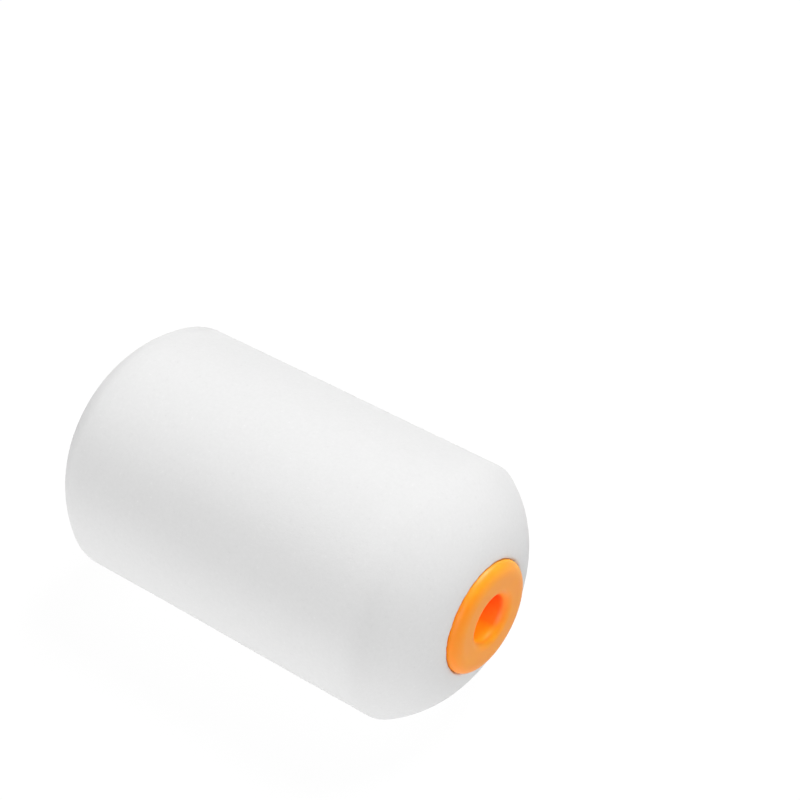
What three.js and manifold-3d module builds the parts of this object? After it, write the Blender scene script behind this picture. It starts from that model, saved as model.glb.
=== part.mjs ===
// Mini foam paint roller sleeve, 60 mm nominal, for a 6 mm wire roller frame.
// Millimetres, +Z up. The sleeve lies on its side with its spin axis along X: the closed, domed foam end
// points to -X and the open end, with its bored cap, to +X. The origin is on the axis, midway along the
// overall length.
import * as THREE from "three";
import { mergeVertices } from "three/addons/utils/BufferGeometryUtils.js";
import Module from "manifold-3d";

const wasm = await Module();
wasm.setup();

// ---- driving dimensions ----------------------------------------------------------------------------

// foam cover
const FOAM_RADIUS = 17.5;
const RIDGE_SPAN = 46; // between the two ridges where the cylinder would meet the end domes
const DOME_RADIUS = 14.8; // radius of each end's arc, seen from the side
const DOME_START = THREE.MathUtils.degToRad(30); // slope of that arc at the ridge
const SHOULDER_RADIUS = 1; // fillet that softens the ridge
const LIP_ROUND = 0.3; // where the open dome turns in to the cap's recess

// core tube
const CORE_RADIUS = 7.5;
const CORE_WALL = 1;
const CORE_LENGTH = 50;

// frame wire and its bores
const WIRE_DIAMETER = 6;
const BORE_RADIUS = WIRE_DIAMETER / 2 + 0.1;

// end cap
const FLANGE_RADIUS = 7.7;
const FLANGE_THICKNESS = 2;
const FLANGE_PROUD = 1.2; // how far its face stands out past the dome's arc at the recess
const RIM_WIDTH = 1.9; // of the rim's rounding, a quarter of an ellipse, measured across the face
const RIM_DEPTH = 1.35; // and measured along the axis
const MOUTH_ROUND = 1.3;
const CAP_SPIGOT_LENGTH = 8;
const CAP_BEARING_LENGTH = 10;
const WEB_COUNT = 6;
const WEB_THICKNESS = 1;

// what every pressed-in moulding has in common
const RING_WALL = 1; // of the ring that grips the tube's wall
const BEARING_WALL = 1; // of the ring round the wire
const LEAD_IN = 0.6; // chamfer where a ring enters the tube
const JOIN = 0.3; // how far a web sinks into the rings it ties
const GAP = 0.1; // between bonded or pressed faces
const RECESS_GAP = 0.05; // between the flange's edge and the foam

// retaining bush, deep in the core
const BUSH_FRONT_FROM_PLUG = 19; // from the plug's disc to the bush's funnel mouth
const BUSH_RING_LENGTH = 7;
const FUNNEL_RADIUS = 5.4;
const FUNNEL_DEPTH = 3;
const FUNNEL_BACK_RISE = 1.5; // the web behind the funnel slopes forward to the ring by this much
const FINGER_LENGTH = 13;
const SLOT_WIDTH = 2;
const SLOT_START = 6; // where the slots between the fingers begin, from the funnel's mouth
const BARB_RADIUS = 2.6; // free radius between the four barbs
const BARB_LENGTH = 2;

// core end plug
const PLUG_DISC = 1;
const PLUG_RING_LENGTH = 5;
const PLUG_SOCKET_DEPTH = 4.5;

const BARB_COUNT = 4;

// fineness of the turned pieces
const SEGMENTS = 72; // round the axis
const DOME_STEPS = 9; // along a dome's arc
const ROUND_STEPS = 6; // along a fillet or a rounding
const MERGE_DISTANCE = 1e-4;

// ---- derived positions along the axis --------------------------------------------------------------

const domeCentreRadius = FOAM_RADIUS - DOME_RADIUS * Math.cos(DOME_START);
const domeCentreInset = DOME_RADIUS * Math.sin(DOME_START); // inward from the ridge
const recessRadius = FLANGE_RADIUS + RECESS_GAP;
const recessAngle = Math.acos((recessRadius - domeCentreRadius) / DOME_RADIUS); // to the recess
const lipAngle = Math.acos((recessRadius + LIP_ROUND - domeCentreRadius) / (DOME_RADIUS - LIP_ROUND));
const ridgeToClosedEnd = DOME_RADIUS - domeCentreInset;
const ridgeToRecess = DOME_RADIUS * Math.sin(recessAngle) - domeCentreInset;

const overallLength = ridgeToClosedEnd + RIDGE_SPAN + ridgeToRecess + FLANGE_PROUD;
const closedEnd = -overallLength / 2;
const capFace = overallLength / 2;
const closedRidge = closedEnd + ridgeToClosedEnd;
const openRidge = closedRidge + RIDGE_SPAN;
const flangeBack = capFace - FLANGE_THICKNESS;
const coreFront = flangeBack - GAP;
const coreBack = coreFront - CORE_LENGTH;
const plugTop = coreBack - GAP; // the face of its disc that covers the tube's end
const plugBottom = plugTop - PLUG_DISC;
const bushFront = plugTop + BUSH_FRONT_FROM_PLUG;

const ringOuter = CORE_RADIUS - CORE_WALL - GAP;
const ringInner = ringOuter - RING_WALL;
const bearingOuter = BORE_RADIUS + BEARING_WALL;

// ---- helpers ---------------------------------------------------------------------------------------

// A point of a turned profile: its radius, and its place along the axis.
const at = (radius, along) => new THREE.Vector2(radius, along);

// Points on a circle of a turned profile. An angle of 0 points outward, a quarter turn towards +X.
function arc(centre, radius, from, to, steps) {
  return Array.from({ length: steps + 1 }, (_, i) => {
    const angle = from + ((to - from) * i) / steps;
    return at(centre.x + radius * Math.cos(angle), centre.y + radius * Math.sin(angle));
  });
}

function turned(profile) {
  return new THREE.LatheGeometry(profile, SEGMENTS);
}

// A ring profile closes on itself.
function turnedRing(profile) {
  return turned([...profile, profile[0]]);
}

function solidOf(geometry) {
  const bare = geometry.clone();
  bare.deleteAttribute("normal");
  bare.deleteAttribute("uv");
  const merged = mergeVertices(bare, MERGE_DISTANCE);
  return new wasm.Manifold(
    new wasm.Mesh({
      numProp: 3,
      vertProperties: merged.attributes.position.array,
      triVerts: new Uint32Array(merged.index.array),
    }),
  );
}

function geometryOf(solid) {
  const mesh = solid.getMesh();
  const geometry = new THREE.BufferGeometry();
  geometry.setAttribute("position", new THREE.BufferAttribute(mesh.vertProperties, 3));
  geometry.setIndex(new THREE.BufferAttribute(mesh.triVerts, 1));
  geometry.computeVertexNormals();
  return geometry;
}

// A box that stands radially: it spans the two radii and the two places along the axis, turned by angle.
function radialBox(innerRadius, outerRadius, thickness, low, high, angle) {
  const box = new THREE.BoxGeometry(outerRadius - innerRadius, high - low, thickness);
  box.translate((innerRadius + outerRadius) / 2, (low + high) / 2, 0);
  box.rotateY(angle);
  return solidOf(box);
}

// ---- materials -------------------------------------------------------------------------------------

const foamWhite = new THREE.MeshStandardMaterial({ color: 0xf1f1ef, roughness: 0.95, metalness: 0 });
const capOrange = new THREE.MeshStandardMaterial({ color: 0xff8a1a, roughness: 0.4, metalness: 0 });
const coreWhite = new THREE.MeshStandardMaterial({ color: 0xe6e7e3, roughness: 0.5, metalness: 0 });

// ---- pieces, each in the turning frame: Y along the roller's axis -----------------------------------

// One foam dome, from the given angle of its arc outward to the cylinder, at the end that faces +Y.
function domeOutline(ridge, startAngle) {
  const domeCentre = at(domeCentreRadius, ridge - domeCentreInset);
  const shoulderCentreRadius = FOAM_RADIUS - SHOULDER_RADIUS;
  const betweenCentres = DOME_RADIUS - SHOULDER_RADIUS;
  const meetAngle = Math.acos((shoulderCentreRadius - domeCentreRadius) / betweenCentres);
  const shoulderCentre = at(shoulderCentreRadius, domeCentre.y + betweenCentres * Math.sin(meetAngle));
  return [
    ...arc(domeCentre, DOME_RADIUS, startAngle, meetAngle, DOME_STEPS),
    ...arc(shoulderCentre, SHOULDER_RADIUS, meetAngle, 0, ROUND_STEPS).slice(1),
  ];
}

// Fine-pored foam, ground to a cylinder with domed ends, with a blind bore for the core from the open end.
function foamCover() {
  const openEnd = domeOutline(openRidge, lipAngle);
  const fromDomeCentre = DOME_RADIUS - LIP_ROUND;
  const lipCentre = at(
    recessRadius + LIP_ROUND,
    openRidge - domeCentreInset + fromDomeCentre * Math.sin(lipAngle),
  );
  const closedDome = domeOutline(-closedRidge, Math.PI / 2).map((p) => at(p.x, -p.y));
  const recessBottom = flangeBack - RECESS_GAP;
  const boreRadius = CORE_RADIUS + GAP;
  return turned([
    at(0, closedEnd),
    ...closedDome,
    ...openEnd.reverse(),
    ...arc(lipCentre, LIP_ROUND, lipAngle, Math.PI, ROUND_STEPS).slice(1),
    at(recessRadius, recessBottom),
    at(boreRadius, recessBottom),
    at(boreRadius, plugBottom - GAP),
    at(0, plugBottom - GAP),
  ]);
}

// Extruded plastic tube that carries the foam.
function coreTube() {
  const inner = CORE_RADIUS - CORE_WALL;
  return turnedRing([
    at(CORE_RADIUS, coreBack),
    at(CORE_RADIUS, coreFront),
    at(inner, coreFront),
    at(inner, coreBack),
  ]);
}

// Flanged cap: the flange closes the foam's open end, its spigot ring grips the tube, and its bearing
// ring, tied to the spigot by webs, runs on the frame's wire.
function endCap() {
  const quarter = Math.PI / 2;
  const spigotEnd = flangeBack - CAP_SPIGOT_LENGTH;
  const bearingEnd = flangeBack - CAP_BEARING_LENGTH;
  const mouthCentre = at(BORE_RADIUS + MOUTH_ROUND, capFace - MOUTH_ROUND);
  const rim = arc(at(0, 0), 1, 0, quarter, ROUND_STEPS).map((p) =>
    at(FLANGE_RADIUS - RIM_WIDTH * (1 - p.x), capFace - RIM_DEPTH * (1 - p.y)),
  );
  const body = solidOf(
    turnedRing([
      at(BORE_RADIUS, bearingEnd),
      at(bearingOuter, bearingEnd),
      at(bearingOuter, flangeBack),
      at(ringInner, flangeBack),
      at(ringInner, spigotEnd),
      at(ringOuter - LEAD_IN / 2, spigotEnd),
      at(ringOuter, spigotEnd + LEAD_IN),
      at(ringOuter, flangeBack),
      at(FLANGE_RADIUS, flangeBack),
      ...rim,
      ...arc(mouthCentre, MOUTH_ROUND, quarter, 2 * quarter, ROUND_STEPS),
    ]),
  );
  const webs = Array.from({ length: WEB_COUNT }, (_, i) =>
    radialBox(
      bearingOuter - JOIN,
      ringInner + JOIN,
      WEB_THICKNESS,
      spigotEnd + LEAD_IN,
      flangeBack + JOIN,
      (i * 2 * Math.PI) / WEB_COUNT,
    ),
  );
  return geometryOf(webs.reduce((solid, web) => solid.add(web), body));
}

// Bush deep in the tube: a funnel leads the wire's tip in, and four barbed fingers snap behind the
// wire's collar. The fingers bend outward into the free space inside the ring.
function retainingBush() {
  const ringEnd = bushFront - BUSH_RING_LENGTH;
  const throat = bushFront - FUNNEL_DEPTH;
  const webBack = throat - BEARING_WALL;
  const fingerEnd = bushFront - FINGER_LENGTH;
  const barbMiddle = fingerEnd + BARB_LENGTH / 2;
  const body = solidOf(
    turnedRing([
      at(FUNNEL_RADIUS, bushFront),
      at(BORE_RADIUS, throat),
      at(BORE_RADIUS, fingerEnd + BARB_LENGTH),
      at(BARB_RADIUS, barbMiddle + LEAD_IN / 2),
      at(BARB_RADIUS, barbMiddle - LEAD_IN / 2),
      at(BORE_RADIUS, fingerEnd),
      at(bearingOuter, fingerEnd),
      at(bearingOuter, webBack),
      at(ringInner, webBack + FUNNEL_BACK_RISE),
      at(ringInner, ringEnd),
      at(ringOuter - LEAD_IN / 2, ringEnd),
      at(ringOuter, ringEnd + LEAD_IN),
      at(ringOuter, bushFront),
    ]),
  );
  const slotReach = (bearingOuter + ringInner) / 2; // past the fingers, short of the ring
  const slots = Array.from({ length: BARB_COUNT / 2 }, (_, i) =>
    radialBox(
      -slotReach,
      slotReach,
      SLOT_WIDTH,
      fingerEnd - JOIN,
      bushFront - SLOT_START,
      ((2 * i + 1) * Math.PI) / BARB_COUNT,
    ),
  );
  return geometryOf(slots.reduce((solid, slot) => solid.subtract(slot), body));
}

// Plug that shuts the tube's inner end, with a blind socket that steadies the tip of the wire.
function coreEndPlug() {
  const ringTop = plugTop + PLUG_RING_LENGTH;
  const socketTop = plugTop + PLUG_SOCKET_DEPTH;
  return turned([
    at(0, plugBottom),
    at(CORE_RADIUS, plugBottom),
    at(CORE_RADIUS, plugTop),
    at(ringOuter, plugTop),
    at(ringOuter, ringTop - LEAD_IN),
    at(ringOuter - LEAD_IN / 2, ringTop),
    at(ringInner, ringTop),
    at(ringInner, plugTop),
    at(bearingOuter, plugTop),
    at(bearingOuter, socketTop),
    at(BORE_RADIUS + LEAD_IN, socketTop),
    at(BORE_RADIUS, socketTop - LEAD_IN),
    at(BORE_RADIUS, plugTop),
    at(0, plugTop),
  ]);
}

// ---- assembly --------------------------------------------------------------------------------------

const roller = new THREE.Group();

function place(name, geometry, material) {
  const mesh = new THREE.Mesh(geometry, material);
  mesh.name = name;
  mesh.rotation.z = -Math.PI / 2; // the turning frame's Y becomes the roller's X
  roller.add(mesh);
}

place("foam_cover", foamCover(), foamWhite);
place("core_tube", coreTube(), coreWhite);
place("end_cap", endCap(), capOrange);
place("retaining_bush", retainingBush(), capOrange);
place("core_end_plug", coreEndPlug(), coreWhite);

export default roller;
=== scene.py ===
import math

import bpy
import numpy as np
from mathutils import Matrix, Vector, noise


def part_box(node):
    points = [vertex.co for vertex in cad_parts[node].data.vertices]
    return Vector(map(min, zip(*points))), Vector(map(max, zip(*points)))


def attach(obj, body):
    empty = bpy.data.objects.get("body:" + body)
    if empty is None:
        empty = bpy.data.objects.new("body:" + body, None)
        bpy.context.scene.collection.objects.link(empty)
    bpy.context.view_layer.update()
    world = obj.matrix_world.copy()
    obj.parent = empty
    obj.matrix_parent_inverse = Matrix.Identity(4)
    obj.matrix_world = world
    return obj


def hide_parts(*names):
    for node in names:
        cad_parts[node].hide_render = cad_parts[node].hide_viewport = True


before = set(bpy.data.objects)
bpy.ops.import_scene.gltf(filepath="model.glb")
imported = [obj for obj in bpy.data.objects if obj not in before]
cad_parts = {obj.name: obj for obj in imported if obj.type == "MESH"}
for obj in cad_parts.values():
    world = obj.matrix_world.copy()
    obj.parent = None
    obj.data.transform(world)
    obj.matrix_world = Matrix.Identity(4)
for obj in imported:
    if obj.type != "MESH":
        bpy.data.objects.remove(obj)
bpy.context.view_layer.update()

MM = 0.001
SAME_POINT = 1e-7  # points closer than this are one

# ---- sizes that the frame's boxes don't give -----------------------------------------------------

DOME_RADIUS = 14.8 * MM  # of the arc of each foam end, seen from the side
DOME_START = math.radians(30)  # slope of that arc where it leaves the ridge
SHOULDER_RADIUS = 1 * MM  # rounds the ridge between cylinder and dome
SOFTENING = 2.2 * MM  # how far the light that spreads inside the foam blurs the ridge's shading
LIP_ROUND = 0.3 * MM  # where the open dome turns in to the cap's recess
FOAM_STEP = 0.31 * MM  # between the foam's points along its outline
FOAM_SEGMENTS = 352  # round the axis
LIP_STEP = 0.1 * MM
COARSE_STEP = 4 * MM  # inside the foam
RECESS_GAP = 0.05 * MM  # between the foam and the flange's edge
SWELL_HEIGHT = 0.05 * MM  # slow waves in the ground surface
SWELL_WIDTH = 14 * MM
RIPPLE_HEIGHT = 0.012 * MM
RIPPLE_WIDTH = 2.5 * MM
GRAIN_HEIGHT = 0.008 * MM
GRAIN_WIDTH = 0.55 * MM
LIP_RAGGEDNESS = 0.05 * MM  # added to the grain at the lip
LIP_REACH = 1.2 * MM  # over which the raggedness fades

CAP_SEGMENTS = 240
CAP_STEP = 0.08 * MM  # between points on the cap's roundings
FLANGE_THICKNESS = 2 * MM
RIM_WIDTH = 1.9 * MM  # of the rim's rounding, a quarter of an ellipse, across the face
RIM_DEPTH = 1.35 * MM  # and along the axis
BORE_RADIUS = 3.1 * MM
MOUTH_ROUND = 1.3 * MM
SPIGOT_LENGTH = 8 * MM
WEB_COUNT = 6
WEB_THICKNESS = 1 * MM

CORE_SEGMENTS = 120
TUBE_WALL = 1 * MM
WALL = 1 * MM  # of the mouldings pressed into the tube
LEAD_IN = 0.6 * MM  # chamfer where a moulding enters the tube
JOIN = 0.3 * MM  # how far a web sinks into the rings that it ties
SMALL_ROUND = 0.15 * MM  # moulded edges
EDGE_SHARE = 0.45  # the most of an edge that the rounding at one end of it takes
SHARP_ANGLE = math.radians(35)  # edges sharper than this aren't smoothed

BUSH_RING_LENGTH = 7 * MM
FUNNEL_RADIUS = 5.4 * MM
FUNNEL_DEPTH = 3 * MM
FUNNEL_BACK_RISE = 1.5 * MM
SLOT_WIDTH = 2 * MM
SLOT_START = 6 * MM  # from the funnel's mouth
BARB_RADIUS = 2.6 * MM
BARB_LENGTH = 2 * MM
BARB_COUNT = 4

PLUG_DISC = 1 * MM
SOCKET_DEPTH = 4.5 * MM

# ---- places and sizes read from the frame --------------------------------------------------------

foam_low, foam_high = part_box("foam_cover")
cap_low, cap_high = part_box("end_cap")
tube_low, tube_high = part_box("core_tube")
bush_low, bush_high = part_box("retaining_bush")
plug_low, plug_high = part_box("core_end_plug")

foam_radius = foam_high.z
dome_centre_radius = foam_radius - DOME_RADIUS * math.cos(DOME_START)
flange_radius = cap_high.z
tube_radius = tube_high.z
cap_face = cap_high.x
flange_back = cap_face - FLANGE_THICKNESS
spigot_radius = bush_high.z
ring_inner = spigot_radius - WALL
bearing_radius = BORE_RADIUS + WALL


# ---- outlines: lists of (radius, x) points -------------------------------------------------------

def arc(centre, radius, start, end, step):
    """Points on a circle. An angle of 0 points away from the axis, a quarter turn towards +X."""
    count = max(2, round(abs(end - start) * radius / step))
    angles = np.linspace(start, end, count + 1)
    return [(centre[0] + radius * math.cos(a), centre[1] + radius * math.sin(a)) for a in angles]


def straight(start, end, step):
    """Points along a line, both ends included."""
    count = max(1, round(math.dist(start, end) / step))
    return [tuple(p) for p in np.linspace(start, end, count + 1)]


def joined(*stretches):
    """One outline of several stretches, without the points that two of them share."""
    points = []
    for stretch in stretches:
        for point in stretch:
            if not points or math.dist(points[-1], point) > SAME_POINT:
                points.append(point)
    return points


def rounded(corners, radius=SMALL_ROUND, steps=4):
    """An outline whose corners are rounded, apart from its two ends."""
    points = [corners[0]]
    for before, corner, after in zip(corners, corners[1:], corners[2:]):
        here = np.array(corner)
        back = np.array(before) - here
        ahead = np.array(after) - here
        reach = min(radius, EDGE_SHARE * np.linalg.norm(back), EDGE_SHARE * np.linalg.norm(ahead))
        start = here + back / np.linalg.norm(back) * reach
        end = here + ahead / np.linalg.norm(ahead) * reach
        for t in np.linspace(0, 1, steps + 1):
            points.append(tuple((1 - t) ** 2 * start + 2 * t * (1 - t) * here + t**2 * end))
    return points + [corners[-1]]


# ---- meshes --------------------------------------------------------------------------------------

def turned(name, outline, segments, closed):
    """A turned piece. A closed outline makes a ring; an open one starts and ends on the axis."""
    angles = np.arange(segments) * 2 * math.pi / segments
    rings = outline if closed else outline[1:-1]
    points = [(x, r * math.sin(a), r * math.cos(a)) for r, x in rings for a in angles]
    faces = []
    last = len(rings) if closed else len(rings) - 1
    for i in range(last):
        here, there = i * segments, (i + 1) % len(rings) * segments
        for j in range(segments):
            k = (j + 1) % segments
            faces.append((here + j, there + j, there + k, here + k))
    if not closed:
        first_pole, last_pole = len(points), len(points) + 1
        points += [(outline[0][1], 0, 0), (outline[-1][1], 0, 0)]
        end = (len(rings) - 1) * segments
        for j in range(segments):
            k = (j + 1) % segments
            faces.append((first_pole, j, k))
            faces.append((end + j, last_pole, end + k))
    mesh = bpy.data.meshes.new(name)
    mesh.from_pydata(points, [], faces)
    mesh.update()
    mesh.shade_smooth()
    piece = bpy.data.objects.new(name, mesh)
    bpy.context.scene.collection.objects.link(piece)
    return piece


def radial_box(inner, outer, thickness, low, high, angle):
    """A box that stands radially, between two radii and two places along the axis."""
    bpy.ops.mesh.primitive_cube_add(size=1)
    box = bpy.context.object
    box.data.transform(
        Matrix.Rotation(angle, 4, "X")
        @ Matrix.Translation(((low + high) / 2, 0, (inner + outer) / 2))
        @ Matrix.Diagonal((high - low, thickness, outer - inner, 1))
    )
    return box


def combine(piece, operation, others):
    """Join the others to the piece, or cut them out of it, and soften its shading."""
    for other in others:
        step = piece.modifiers.new("combine", "BOOLEAN")
        step.operation = operation
        step.object = other
    graph = bpy.context.evaluated_depsgraph_get()
    combined = bpy.data.meshes.new_from_object(piece.evaluated_get(graph))
    piece.modifiers.clear()
    piece.data = combined
    for other in others:
        bpy.data.objects.remove(other)
    piece.data.set_sharp_from_angle(angle=SHARP_ANGLE)


def finish_piece(piece, slot, material, *nodes):
    """The piece stands for the CAD nodes and rides on the sleeve's one body."""
    piece.data.materials.clear()
    piece.data.materials.append(material)
    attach(piece, "root")
    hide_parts(*nodes)


# ---- materials -----------------------------------------------------------------------------------

FOAM_SPECKS = 2200  # noise cells to a metre
FOAM_GRAIN = 2400
FOAM_PORES = 5200
ORANGE_FLOW = 220
ORANGE_SKIN = 2600
NATURAL_FLOW = 180
NATURAL_SKIN = 1500
BUMP_DEPTH = 0.02 * MM  # of the moulded skins
FOAM_BUMP_DEPTH = 0.04 * MM
LIGHT_FALLS = (0, -0.44, -0.9)  # the way the strongest light falls, across the sleeve's axis
BORE_FADE = 0.25 * MM  # over which the cap's colour turns to the bore's painted shade


def new_material(name):
    """A node material with its principled shader, and its node tree."""
    material = bpy.data.materials.new(name)
    material.use_nodes = True
    tree = material.node_tree
    shader = tree.nodes["Principled BSDF"]
    return material, tree, shader


def object_coordinates(tree):
    return tree.nodes.new("ShaderNodeTexCoord").outputs["Object"]


def noise_texture(tree, scale, detail, roughness=0.5):
    node = tree.nodes.new("ShaderNodeTexNoise")
    node.inputs["Scale"].default_value = scale
    node.inputs["Detail"].default_value = detail
    node.inputs["Roughness"].default_value = roughness
    tree.links.new(object_coordinates(tree), node.inputs["Vector"])
    return node.outputs["Fac"]


def ramp(tree, factor, *stops):
    """A colour ramp with (place, colour) stops."""
    node = tree.nodes.new("ShaderNodeValToRGB")
    elements = node.color_ramp.elements
    while len(elements) < len(stops):
        elements.new(0.5)
    for element, (place, colour) in zip(elements, stops):
        element.position = place
        element.color = (*colour, 1)
    tree.links.new(factor, node.inputs["Fac"])
    return node.outputs["Color"]


def bump(tree, height, strength, distance, normal=None):
    node = tree.nodes.new("ShaderNodeBump")
    node.inputs["Strength"].default_value = strength
    node.inputs["Distance"].default_value = distance
    tree.links.new(height, node.inputs["Height"])
    if normal is not None:
        tree.links.new(normal, node.inputs["Normal"])
    return node.outputs["Normal"]


def nearness(tree, value, near, far):
    """1 where the value is near, 0 where it is far, and a smooth passage between."""
    node = tree.nodes.new("ShaderNodeMapRange")
    node.interpolation_type = "SMOOTHSTEP"
    node.inputs["From Min"].default_value = far
    node.inputs["From Max"].default_value = near
    tree.links.new(value, node.inputs["Value"])
    return node.outputs["Result"]


def product(tree, first, second):
    node = tree.nodes.new("ShaderNodeMath")
    node.operation = "MULTIPLY"
    tree.links.new(first, node.inputs[0])
    tree.links.new(second, node.inputs[1])
    return node.outputs["Value"]


def vector_math(tree, operation, vector, other=None):
    node = tree.nodes.new("ShaderNodeVectorMath")
    node.operation = operation
    tree.links.new(vector, node.inputs[0])
    if other is not None:
        node.inputs[1].default_value = other
    return node


def mixed(tree, share, first, second):
    """The first colour, which may be plain, with a share of the second."""
    node = tree.nodes.new("ShaderNodeMix")
    node.data_type = "RGBA"
    share_in, first_in, second_in = [s for s in node.inputs if s.enabled]
    tree.links.new(share, share_in)
    if isinstance(first, tuple):
        first_in.default_value = first
    else:
        tree.links.new(first, first_in)
    tree.links.new(second, second_in)
    return next(s for s in node.outputs if s.enabled)


def foam_material():
    """Fine open-cell foam: matt and nearly white, with pores too small to see singly, faint
    mottling, and a few darker and paler specks."""
    material, tree, shader = new_material("foam")
    pores = tree.nodes.new("ShaderNodeTexVoronoi")
    pores.feature = "SMOOTH_F1"
    pores.inputs["Scale"].default_value = FOAM_PORES
    tree.links.new(object_coordinates(tree), pores.inputs["Vector"])
    mottling = noise_texture(tree, FOAM_SPECKS, 4, 0.65)
    greys = ((0.28, 0.685), (0.33, 0.717), (0.67, 0.737), (0.72, 0.78))
    colour = ramp(tree, mottling, *((place, (grey,) * 3) for place, grey in greys))
    tree.links.new(colour, shader.inputs["Base Color"])
    grain = bump(tree, noise_texture(tree, FOAM_GRAIN, 3, 0.6), 0.2, FOAM_BUMP_DEPTH)
    surface = bump(tree, pores.outputs["Distance"], 0.25, FOAM_BUMP_DEPTH, grain)
    tree.links.new(surface, shader.inputs["Normal"])
    shader.inputs["Roughness"].default_value = 0.95
    shader.inputs["Specular IOR Level"].default_value = 0.2
    shader.inputs["Subsurface Weight"].default_value = 0.3
    shader.inputs["Subsurface Radius"].default_value = (1, 1, 1)
    shader.inputs["Subsurface Scale"].default_value = 0.8 * MM
    return material


def orange_plastic():
    """Satin moulded polypropylene. It lets red light through, and a weak painted glow all over
    stands in for that.
    """
    material, tree, shader = new_material("orange_plastic")
    flow = noise_texture(tree, ORANGE_FLOW, 3)
    colour = ramp(tree, flow, (0.3, (0.92, 0.305, 0.004)), (0.7, (0.94, 0.333, 0.008)))
    # a weak painted glow all over, then painted light, shade and glow on the rim and in the bore
    colour, glow = with_painted_light(tree, colour, (0.04, 0.008, 0, 1))
    tree.links.new(colour, shader.inputs["Base Color"])
    tree.links.new(glow, shader.inputs["Emission Color"])
    shader.inputs["Emission Strength"].default_value = 1
    skin = noise_texture(tree, ORANGE_SKIN, 3)
    tree.links.new(bump(tree, skin, 0.1, BUMP_DEPTH), shader.inputs["Normal"])
    roughness = ramp(tree, flow, (0.3, (0.42,) * 3), (0.7, (0.5,) * 3))
    tree.links.new(roughness, shader.inputs["Roughness"])
    shader.inputs["Specular IOR Level"].default_value = 0.4
    shader.inputs["Subsurface Weight"].default_value = 0.3
    shader.inputs["Subsurface Radius"].default_value = (1, 0.3, 0.05)
    shader.inputs["Subsurface Scale"].default_value = 1.2 * MM
    return material


def with_painted_light(tree, colour, glow):
    """The cap's colour and glow, with painted light and shade on its rim and in its bore. The rim is
    painted paler on the side that the light falls on. The plastic is painted deeper where less light
    goes in, and the bore's mouth has a painted glow, most where light comes down through the flange."""
    across = vector_math(tree, "MULTIPLY", object_coordinates(tree), (0, 1, 1)).outputs["Vector"]
    radius = vector_math(tree, "LENGTH", across).outputs["Value"]
    along = vector_math(tree, "DOT_PRODUCT", object_coordinates(tree), (1, 0, 0)).outputs["Value"]
    below = vector_math(tree, "DOT_PRODUCT", across, LIGHT_FALLS).outputs["Value"]
    in_rim = nearness(tree, radius, flange_radius, flange_radius - RIM_WIDTH)
    in_ring = nearness(tree, radius, BORE_RADIUS, BORE_RADIUS + MOUTH_ROUND)
    in_bore = nearness(tree, radius, BORE_RADIUS, BORE_RADIUS + BORE_FADE)
    in_mouth = nearness(tree, along, flange_back, flange_back - SPIGOT_LENGTH)
    lit = nearness(tree, below, BORE_RADIUS, -BORE_RADIUS)
    lit_rim = nearness(tree, below, flange_radius, -flange_radius)
    # painted light and shade: the rim paler and yellower on the side the light falls on, deeper
    # orange on the other
    painted_rim_shading = ramp(tree, lit_rim, (0, (0.95, 0.38, 0.02)), (0.25, (0.92, 0.265, 0.002)))
    # painted light and shade on the bore's rounded mouth: paler on the lit side, deeper on the other
    painted_mouth_shading = ramp(tree, lit, (0.7, (0.9, 0.24, 0.003)), (1, (0.95, 0.37, 0.01)))
    # painted shade in the bore: deep red on the side the light doesn't reach, orange on the lit side
    painted_bore_shade = ramp(
        tree,
        lit,
        (0, (0.88, 0.075, 0.006)),
        (0.6, (0.9, 0.17, 0.007)),
        (0.85, (0.91, 0.185, 0.007)),
        (1, (0.92, 0.33, 0.008)),
    )
    # painted glow in the bore's mouth, weak on the shaded side and strongest on the lit side
    painted_bore_glow = ramp(
        tree,
        lit,
        (0, (0.13, 0.002, 0)),
        (0.6, (0.28, 0.025, 0.001)),
        (0.85, (0.4, 0.06, 0.002)),
        (1, (0.6, 0.16, 0.004)),
    )
    colour = mixed(tree, in_rim, colour, painted_rim_shading)
    colour = mixed(tree, in_ring, colour, painted_mouth_shading)
    colour = mixed(tree, in_bore, colour, painted_bore_shade)
    glow = mixed(tree, product(tree, in_bore, in_mouth), glow, painted_bore_glow)
    return colour, glow


def natural_plastic():
    """Uncoloured polypropylene: milky and slightly translucent."""
    material, tree, shader = new_material("natural_plastic")
    flow = noise_texture(tree, NATURAL_FLOW, 3)
    colour = ramp(tree, flow, (0.3, (0.74, 0.74, 0.7)), (0.7, (0.82, 0.82, 0.79)))
    tree.links.new(colour, shader.inputs["Base Color"])
    skin = noise_texture(tree, NATURAL_SKIN, 2)
    tree.links.new(bump(tree, skin, 0.1, BUMP_DEPTH), shader.inputs["Normal"])
    shader.inputs["Roughness"].default_value = 0.45
    shader.inputs["Subsurface Weight"].default_value = 0.4
    shader.inputs["Subsurface Radius"].default_value = (1, 0.95, 0.85)
    shader.inputs["Subsurface Scale"].default_value = 1.5 * MM
    return material


# ---- foam cover ----------------------------------------------------------------------------------

def dome(tip, start_angle):
    """A foam end that faces +X, from start_angle on its arc outward to the cylinder. The full arc
    would reach x = tip."""
    centre = (dome_centre_radius, tip - DOME_RADIUS)
    between = DOME_RADIUS - SHOULDER_RADIUS
    shoulder_radius = foam_radius - SHOULDER_RADIUS
    meet = math.acos((shoulder_radius - centre[0]) / between)
    shoulder = (shoulder_radius, centre[1] + between * math.sin(meet))
    return joined(
        arc(centre, DOME_RADIUS, start_angle, meet, FOAM_STEP),
        arc(shoulder, SHOULDER_RADIUS, meet, 0, FOAM_STEP),
    )


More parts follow.
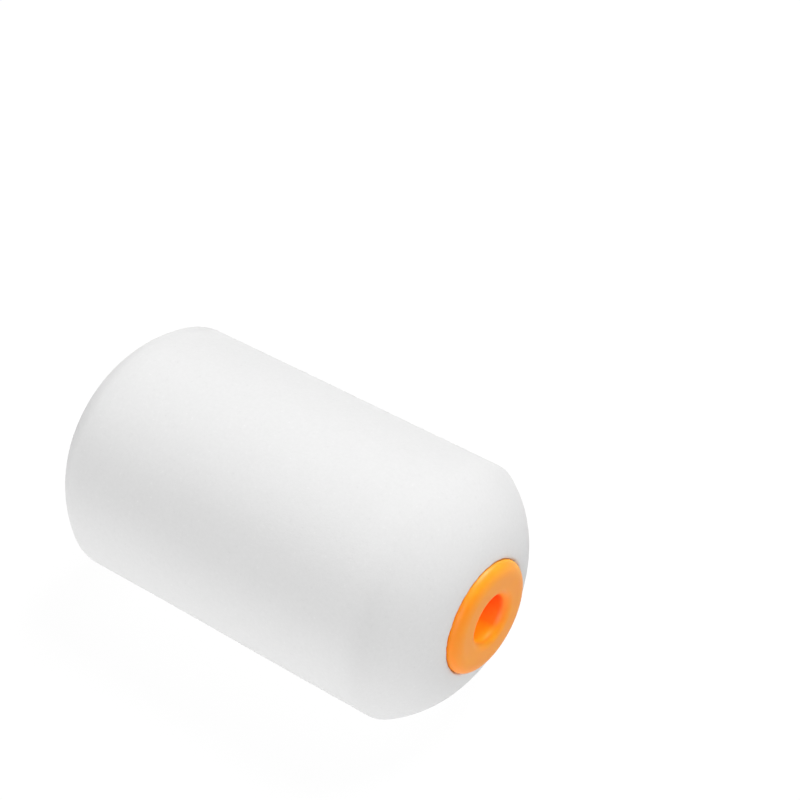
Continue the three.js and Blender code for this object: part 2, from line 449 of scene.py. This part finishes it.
def foam_outline():
    """(outline of the whole foam, number of its points on the outer surface)"""
    recess = flange_radius + RECESS_GAP
    between = DOME_RADIUS - LIP_ROUND
    lip_angle = math.acos((recess + LIP_ROUND - dome_centre_radius) / between)
    lip_centre = (recess + LIP_ROUND, foam_high.x - LIP_ROUND)
    open_tip = lip_centre[1] - between * math.sin(lip_angle) + DOME_RADIUS
    lip = arc(lip_centre, LIP_ROUND, math.pi, lip_angle, LIP_STEP)
    open_dome = joined(lip, dome(open_tip, lip_angle))
    closed_dome = [(r, -x) for r, x in dome(-foam_low.x, math.pi / 2)]
    crown = straight((0, foam_low.x), closed_dome[0], FOAM_STEP)
    cylinder = straight(closed_dome[-1], open_dome[-1], FOAM_STEP)
    outer = joined(crown, closed_dome, cylinder, open_dome[::-1])
    recess_bottom = flange_back - RECESS_GAP
    bore = tube_radius + 2 * RECESS_GAP
    bore_bottom = plug_low.x - 2 * RECESS_GAP
    inner = joined(
        straight(outer[-1], (recess, recess_bottom), FOAM_STEP),
        straight((recess, recess_bottom), (bore, recess_bottom), FOAM_STEP),
        straight((bore, recess_bottom), (bore, bore_bottom), COARSE_STEP),
        straight((bore, bore_bottom), (0, bore_bottom), COARSE_STEP),
    )
    return joined(outer, inner), len(outer)


def wave(place, height, width, shift=0):
    """How far waves of this height and width lift the surface. A shift picks another pattern."""
    return height * noise.noise(place / width + Vector((0, shift, 0)))


def roughen(piece, outer_count):
    """The ground foam is slightly uneven, and its cut lip round the cap is a little ragged."""
    mesh = piece.data
    places = np.empty(len(mesh.vertices) * 3, np.float32)
    mesh.vertices.foreach_get("co", places)
    normals = np.empty_like(places)
    mesh.vertex_normals.foreach_get("vector", normals)
    places, normals = places.reshape(-1, 3), normals.reshape(-1, 3)
    for i in range((outer_count - 1) * FOAM_SEGMENTS):
        place = Vector(places[i])
        to_lip = math.hypot(foam_high.x - place.x, math.hypot(place.y, place.z) - flange_radius)
        ragged = LIP_RAGGEDNESS * math.exp(-((to_lip / LIP_REACH) ** 2))
        rise = wave(place, SWELL_HEIGHT, SWELL_WIDTH)
        rise += wave(place, RIPPLE_HEIGHT, RIPPLE_WIDTH, 7)
        rise += wave(place, GRAIN_HEIGHT + ragged, GRAIN_WIDTH, 9)
        places[i] += normals[i] * rise
    mesh.vertices.foreach_set("co", places.ravel())
    mesh.update()


def soften_ridges(piece, outline, outer_count):
    """Blend the shading across the two ridges, as light inside foam does. The shape stays crisp."""
    points = np.array(outline[1:outer_count])
    along = np.gradient(points, axis=0)
    lengths = np.linalg.norm(along, axis=1)
    facing = np.stack([along[:, 1], -along[:, 0]], 1) / lengths[:, None]
    places = np.cumsum(lengths)
    lip_radius = flange_radius + RECESS_GAP + LIP_ROUND
    outwardness = np.clip((points[:, 0] - lip_radius) / (foam_radius - lip_radius), 0, 1)
    weights = np.exp(-(((places[:, None] - places) / SOFTENING) ** 2)) * lengths * (outwardness > 0)
    blended = weights @ facing
    blended /= np.linalg.norm(blended, axis=1)[:, None]
    change = (blended - facing) * outwardness[:, None]
    mesh = piece.data
    normals = np.empty(len(mesh.vertices) * 3, np.float32)
    mesh.vertex_normals.foreach_get("vector", normals)
    normals = normals.reshape(-1, 3)
    angles = np.arange(FOAM_SEGMENTS) * 2 * math.pi / FOAM_SEGMENTS
    outward = np.stack([np.sin(angles), np.cos(angles)], 1)
    outer = normals[: len(points) * FOAM_SEGMENTS].reshape(len(points), FOAM_SEGMENTS, 3)
    outer[:, :, 0] += change[:, 1, None]
    outer[:, :, 1:] += change[:, 0, None, None] * outward
    normals /= np.linalg.norm(normals, axis=1)[:, None]
    mesh.normals_split_custom_set_from_vertices(normals)


def foam_cover():
    outline, outer_count = foam_outline()
    piece = turned("foam", outline, FOAM_SEGMENTS, closed=False)
    roughen(piece, outer_count)
    soften_ridges(piece, outline, outer_count)
    finish_piece(piece, "foam", foam_material(), "foam_cover")


# ---- end cap -------------------------------------------------------------------------------------

def cap_outline():
    """Flange, spigot ring and bearing ring, in one closed outline that starts at the bore."""
    spigot_end = flange_back - SPIGOT_LENGTH
    behind = rounded([
        (BORE_RADIUS, flange_back),
        (BORE_RADIUS, cap_low.x),
        (bearing_radius, cap_low.x),
        (bearing_radius, flange_back),
        (ring_inner, flange_back),
        (ring_inner, spigot_end),
        (spigot_radius - LEAD_IN / 2, spigot_end),
        (spigot_radius, spigot_end + LEAD_IN),
        (spigot_radius, flange_back),
        (flange_radius, flange_back),
        (flange_radius, cap_face - RIM_DEPTH),
    ])
    quarter = math.pi / 2
    rim = [
        (flange_radius - RIM_WIDTH * (1 - r), cap_face - RIM_DEPTH * (1 - x))
        for r, x in arc((0, 0), 1, 0, quarter, CAP_STEP / RIM_DEPTH)
    ]
    mouth_centre = (BORE_RADIUS + MOUTH_ROUND, cap_face - MOUTH_ROUND)
    mouth = arc(mouth_centre, MOUTH_ROUND, quarter, 2 * quarter, CAP_STEP)
    return joined(behind, rim, mouth)


def end_cap(material):
    piece = turned("cap", cap_outline(), CAP_SEGMENTS, closed=True)
    inner, outer = bearing_radius - JOIN, ring_inner + JOIN
    low, high = flange_back - SPIGOT_LENGTH + LEAD_IN, flange_back + JOIN
    webs = [
        radial_box(inner, outer, WEB_THICKNESS, low, high, angle)
        for angle in np.arange(WEB_COUNT) * 2 * math.pi / WEB_COUNT
    ]
    combine(piece, "UNION", webs)
    finish_piece(piece, "orange_plastic", material, "end_cap")


# ---- inside the sleeve ---------------------------------------------------------------------------

def core_tube(material):
    inner = tube_radius - TUBE_WALL
    middle = (tube_low.x + tube_high.x) / 2
    outline = rounded([
        (tube_radius, middle),
        (tube_radius, tube_high.x),
        (inner, tube_high.x),
        (inner, tube_low.x),
        (tube_radius, tube_low.x),
        (tube_radius, middle),
    ])
    piece = turned("tube", outline[:-1], CORE_SEGMENTS, closed=True)
    finish_piece(piece, "natural_plastic", material, "core_tube")


def retaining_bush(material):
    """A funnel, a ring that grips the tube, and four barbed fingers that snap behind the wire's
    groove."""
    front, finger_end = bush_high.x, bush_low.x
    throat = front - FUNNEL_DEPTH
    ring_end = front - BUSH_RING_LENGTH
    barb_front, barb_middle = finger_end + BARB_LENGTH, finger_end + BARB_LENGTH / 2
    outline = rounded([
        (BORE_RADIUS, (throat + barb_front) / 2),
        (BORE_RADIUS, barb_front),
        (BARB_RADIUS, barb_middle + LEAD_IN / 2),
        (BARB_RADIUS, barb_middle - LEAD_IN / 2),
        (BORE_RADIUS, finger_end),
        (bearing_radius, finger_end),
        (bearing_radius, throat - WALL),
        (ring_inner, throat - WALL + FUNNEL_BACK_RISE),
        (ring_inner, ring_end),
        (spigot_radius - LEAD_IN / 2, ring_end),
        (spigot_radius, ring_end + LEAD_IN),
        (spigot_radius, front),
        (FUNNEL_RADIUS, front),
        (BORE_RADIUS, throat),
        (BORE_RADIUS, (throat + barb_front) / 2),
    ])
    piece = turned("bush", outline[:-1], CORE_SEGMENTS, closed=True)
    reach = (bearing_radius + ring_inner) / 2
    slots = [
        radial_box(-reach, reach, SLOT_WIDTH, finger_end - JOIN, front - SLOT_START, angle)
        for angle in (2 * np.arange(BARB_COUNT / 2) + 1) * math.pi / BARB_COUNT
    ]
    combine(piece, "DIFFERENCE", slots)
    finish_piece(piece, "orange_plastic", material, "retaining_bush")


def core_end_plug(material):
    """A disc over the tube's end, a ring that grips the tube, and a blind socket for the wire."""
    top = plug_low.x + PLUG_DISC
    socket_top = top + SOCKET_DEPTH
    outline = rounded([
        (0, plug_low.x),
        (tube_radius, plug_low.x),
        (tube_radius, top),
        (spigot_radius, top),
        (spigot_radius, plug_high.x - LEAD_IN),
        (spigot_radius - LEAD_IN / 2, plug_high.x),
        (ring_inner, plug_high.x),
        (ring_inner, top),
        (bearing_radius, top),
        (bearing_radius, socket_top),
        (BORE_RADIUS + LEAD_IN, socket_top),
        (BORE_RADIUS, socket_top - LEAD_IN),
        (BORE_RADIUS, top),
        (0, top),
    ])
    piece = turned("plug", outline, CORE_SEGMENTS, closed=False)
    finish_piece(piece, "natural_plastic", material, "core_end_plug")


# ---- stage ---------------------------------------------------------------------------------------

FLOOR_SIZE = 1.6
BACKDROP_RADIUS = 2.9
BACKDROP_GLOW = 1
TABLE_GREY = 0.05  # the part of the table's white that a shadow can darken
TABLE_GLOW = 0.96  # and the part that it can't
LAMP_DISTANCE = 0.7
CAMERA_AIM = Vector((-3.85, 27.36, 0)) * MM  # beside the sleeve, where the middle of the view lies
CAMERA_AZIMUTH = math.radians(36.86)
CAMERA_ELEVATION = math.radians(39.31)
CAMERA_DISTANCE = 294.9 * MM
CAMERA_LENS = 96.2
CAMERA_SENSOR = 36
WORLD_GLOW = 0.01


def stage_white(surface, name, grey, glow):
    """Give a stage surface a matt white that glows by itself."""
    surface.name = name
    material, _, shader = new_material(name)
    shader.inputs["Base Color"].default_value = (grey, grey, grey, 1)
    shader.inputs["Roughness"].default_value = 0.9
    shader.inputs["Specular IOR Level"].default_value = 0
    shader.inputs["Emission Color"].default_value = (1, 1, 1, 1)
    shader.inputs["Emission Strength"].default_value = glow
    surface.data.materials.append(material)


def floor():
    """A white table that glows, so that shadows on it stay faint."""
    bpy.ops.mesh.primitive_plane_add(size=FLOOR_SIZE, location=(0, 0, foam_low.z))
    stage_white(bpy.context.object, "floor", TABLE_GREY, TABLE_GLOW)


def backdrop():
    """A white shell round everything, which only the camera sees: it doesn't light the sleeve."""
    bpy.ops.mesh.primitive_uv_sphere_add(radius=BACKDROP_RADIUS, segments=64, ring_count=32)
    shell = bpy.context.object
    shell.visible_diffuse = False
    shell.visible_glossy = False
    shell.visible_transmission = False
    shell.visible_shadow = False
    stage_white(shell, "backdrop", 0, BACKDROP_GLOW)


def softbox(name, direction, size, brightness):
    """A square softbox that faces the sleeve. Brightness is that of a white card square to it."""
    light = bpy.data.lights.new(name, "AREA")
    light.size = size
    light.energy = brightness * (math.pi * LAMP_DISTANCE) ** 2
    lamp = bpy.data.objects.new(name, light)
    bpy.context.scene.collection.objects.link(lamp)
    towards = Vector(direction).normalized()
    lamp.location = towards * LAMP_DISTANCE
    lamp.rotation_mode = "QUATERNION"
    lamp.rotation_quaternion = towards.to_track_quat("Z", "Y")


def surroundings():
    world = bpy.data.worlds.new("studio")
    world.use_nodes = True
    background = world.node_tree.nodes["Background"]
    background.inputs["Color"].default_value = (1, 1, 1, 1)
    background.inputs["Strength"].default_value = WORLD_GLOW
    bpy.context.scene.world = world


def camera():
    data = bpy.data.cameras.new("camera")
    data.sensor_width = CAMERA_SENSOR
    data.lens = CAMERA_LENS
    data.clip_start = 0.01
    data.clip_end = 20
    viewer = bpy.data.objects.new("camera", data)
    bpy.context.scene.collection.objects.link(viewer)
    towards = Vector((
        math.sin(CAMERA_AZIMUTH) * math.cos(CAMERA_ELEVATION),
        -math.cos(CAMERA_AZIMUTH) * math.cos(CAMERA_ELEVATION),
        math.sin(CAMERA_ELEVATION),
    ))
    viewer.location = CAMERA_AIM + towards * CAMERA_DISTANCE
    viewer.rotation_mode = "QUATERNION"
    viewer.rotation_quaternion = towards.to_track_quat("Z", "Y")
    bpy.context.scene.camera = viewer


# ---- the scene -----------------------------------------------------------------------------------

foam_cover()
orange = orange_plastic()
natural = natural_plastic()
end_cap(orange)
core_tube(natural)
retaining_bush(orange)
core_end_plug(natural)

floor()
backdrop()
softbox("key", (0.1, 0.445, 0.89), 0.35, 1.1)
softbox("front", (0.49, -0.77, 0.41), 0.45, 0.59)
softbox("left", (-0.9, -0.38, 0.22), 0.3, 0.4)
surroundings()
camera()
bpy.context.scene.view_settings.view_transform = "Standard"
